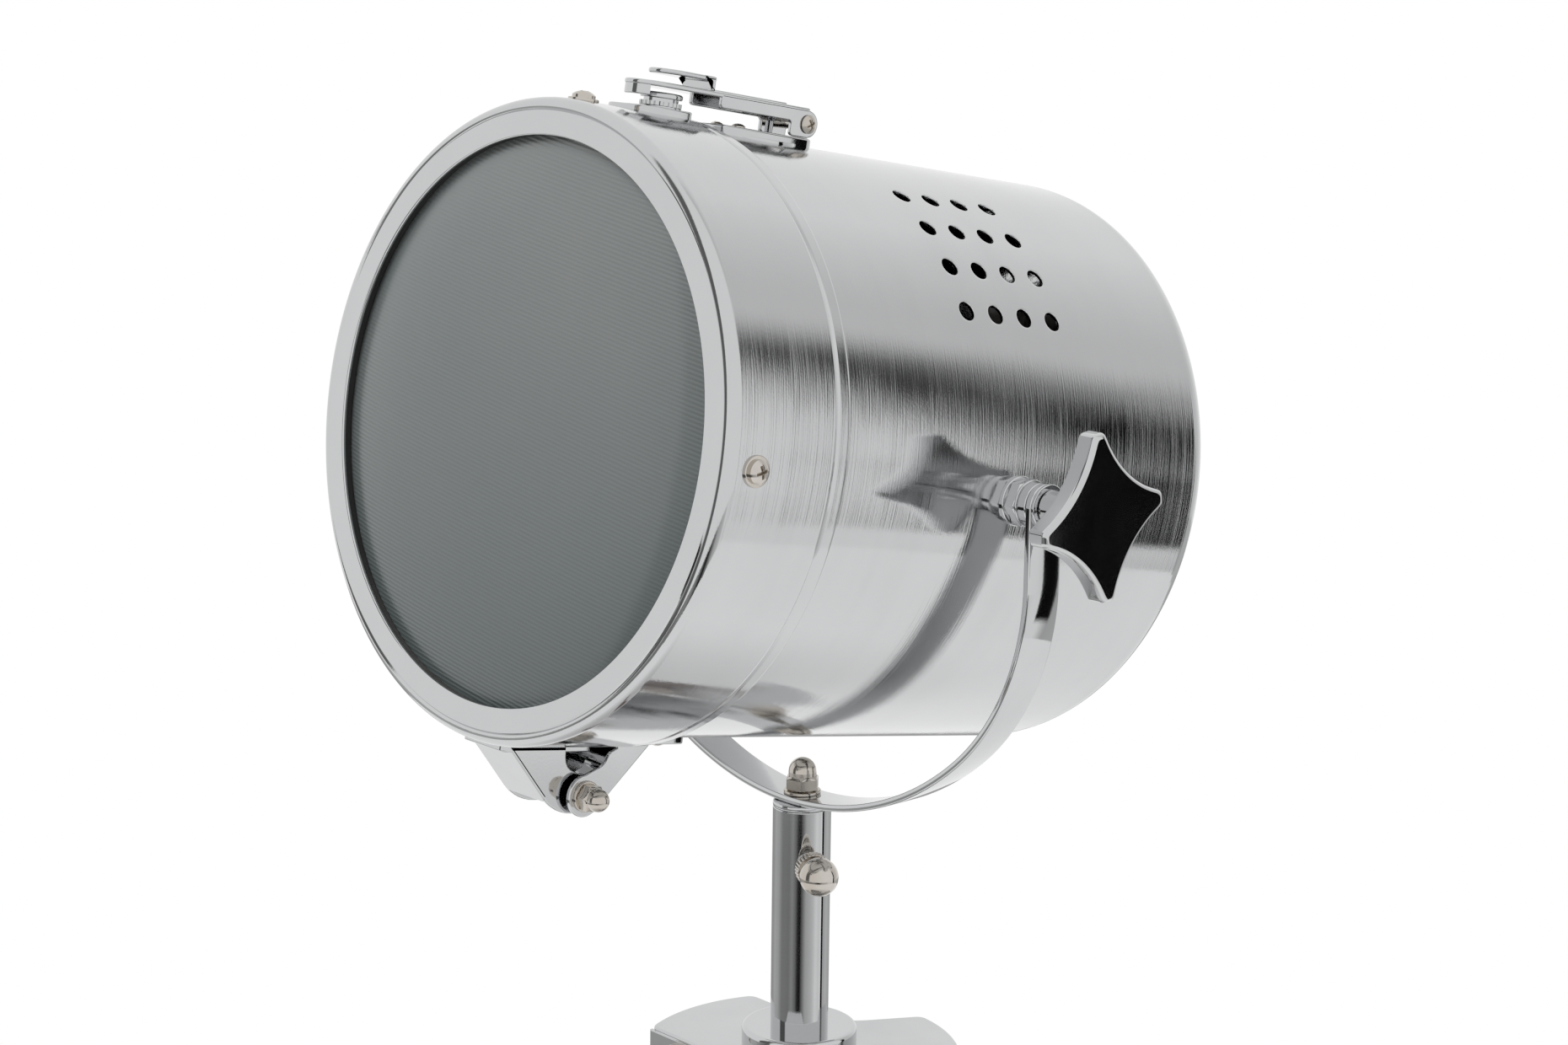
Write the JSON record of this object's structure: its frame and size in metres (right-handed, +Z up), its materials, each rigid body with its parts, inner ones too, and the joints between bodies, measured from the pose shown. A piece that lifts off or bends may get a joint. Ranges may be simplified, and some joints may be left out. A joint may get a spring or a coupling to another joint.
{
  "type": "tripod floor lamp",
  "caption": "Polished searchlight floor lamp: drum head with a hinged ribbed-lens door and lever latch, tilting in a strap yoke on a post over a folding tripod.",
  "frame": {"origin": "on the floor, centred under the bounding box of the lamp; the post stands 85 mm to +X of it", "axes": "+Z up from the floor, -Y the way the lens faces, +X to the right when facing the lens"},
  "size_m": [0.548, 0.6268, 1.4996],
  "materials": {
    "polished_chrome": "mirror polish",
    "nickel_hardware": "bright nickel",
    "zinc_steel": "zinc plated",
    "stained_wood": "dark stain, satin lacquer",
    "black_rubber": "matte",
    "black_plastic": "moulded",
    "bright_aluminium": "spun and polished",
    "white_holder": "glazed",
    "bulb_brass": "rolled thread shell",
    "bulb_white": "opal",
    "ribbed_glass": "frosted, finely ribbed"
  },
  "bodies": {
    "stand": {"hub_plate": "polished_chrome", "hub_collar": "polished_chrome", "post_tube": "polished_chrome", "post_plug": "zinc_steel", "hub_bolt": "zinc_steel", "leg_bolts": "nickel_hardware", "leg_bolt_nuts": "nickel_hardware", "thumb_boss": "polished_chrome"},
    "leg_a": {"leg_socket_1": "polished_chrome", "leg_1": "stained_wood", "foot_1": "black_rubber"},
    "leg_b": {"leg_socket_2": "polished_chrome", "leg_2": "stained_wood", "foot_2": "black_rubber"},
    "leg_c": {"leg_socket_3": "polished_chrome", "leg_3": "stained_wood", "foot_3": "black_rubber"},
    "thumb": {"thumb_screw": "nickel_hardware"},
    "yoke": {"yoke_strap": "polished_chrome", "yoke_spigot": "nickel_hardware", "yoke_washer": "nickel_hardware", "yoke_cap_nut": "nickel_hardware", "pivot_washers": "polished_chrome"},
    "knob_right": {"tilt_knob_right": "polished_chrome", "tilt_stud_right": "zinc_steel"},
    "knob_left": {"tilt_knob_left": "polished_chrome", "tilt_stud_left": "zinc_steel"},
    "head": {"drum_shell": "polished_chrome", "drum_rear_cap": "polished_chrome", "rear_cap_screws": "nickel_hardware", "pivot_bushes": "polished_chrome", "pivot_nuts": "zinc_steel", "reflector": "bright_aluminium", "lampholder_bracket": "zinc_steel", "lampholder_body": "white_holder", "lampholder_ring": "white_holder", "bulb_cap": "bulb_brass", "bulb_glass": "bulb_white", "cable_gland": "black_plastic", "gland_nut": "black_plastic", "terminal_block": "white_holder", "hinge_drum_leaf": "polished_chrome", "hinge_pin_bolt": "nickel_hardware", "hinge_nut": "nickel_hardware", "hinge_drum_screws": "nickel_hardware", "latch_base": "polished_chrome", "latch_pivot_bolt": "nickel_hardware", "latch_base_screws": "nickel_hardware"},
    "door": {"door_ring": "polished_chrome", "lens_glass": "ribbed_glass", "lens_gasket": "black_rubber", "lens_clips": "zinc_steel", "ring_screws": "nickel_hardware", "hinge_door_leaf": "polished_chrome", "hinge_door_screws": "nickel_hardware", "latch_catch": "polished_chrome"},
    "latch": {"latch_lever": "polished_chrome", "latch_tab": "polished_chrome"}
  },
  "joints": [
    {"name": "head_swivel", "type": "hinge", "parent": "stand", "child": "yoke", "pos_m": [0.085, 0, 1.17], "axis": [0, 0, 1], "continuous": true},
    {"name": "head_tilt", "type": "hinge", "parent": "yoke", "child": "head", "pos_m": [0.085, 0, 1.3355], "axis": [1, 0, 0], "range_deg": [-15, 25]},
    {"name": "door_swing", "type": "hinge", "parent": "head", "child": "door", "pos_m": [0.085, -0.13255, 1.21722], "axis": [1, 0, 0], "range_deg": [0, 95]},
    {"name": "latch_lift", "type": "hinge", "parent": "head", "child": "latch", "pos_m": [0.085, -0.01103, 1.47453], "axis": [-1, 0, 0], "range_deg": [0, 129]},
    {"name": "knob_right_turn", "type": "hinge", "parent": "head", "child": "knob_right", "pos_m": [0.24, 0, 1.3355], "axis": [1, 0, 0], "continuous": true},
    {"name": "knob_left_turn", "type": "hinge", "parent": "head", "child": "knob_left", "pos_m": [-0.07, 0, 1.3355], "axis": [-1, 0, 0], "continuous": true},
    {"name": "thumb_turn", "type": "hinge", "parent": "stand", "child": "thumb", "pos_m": [0.085, 0, 1.16056], "axis": [0.8829, -0.4695, 0], "continuous": true},
    {"name": "leg_a_fold", "type": "hinge", "parent": "stand", "child": "leg_a", "pos_m": [0.037, 0, 1.06056], "axis": [0, -1, 0], "range_deg": [0, 15]},
    {"name": "leg_b_fold", "type": "hinge", "parent": "stand", "child": "leg_b", "pos_m": [0.109, 0.04157, 1.06056], "axis": [-0.866, 0.5, 0], "range_deg": [0, 15]},
    {"name": "leg_c_fold", "type": "hinge", "parent": "stand", "child": "leg_c", "pos_m": [0.109, -0.04157, 1.06056], "axis": [0.866, 0.5, 0], "range_deg": [0, 15]}
  ],
  "couplings": [
    {"joint": "latch_lift", "follows": "door_swing", "ratio": 1.35}
  ]
}
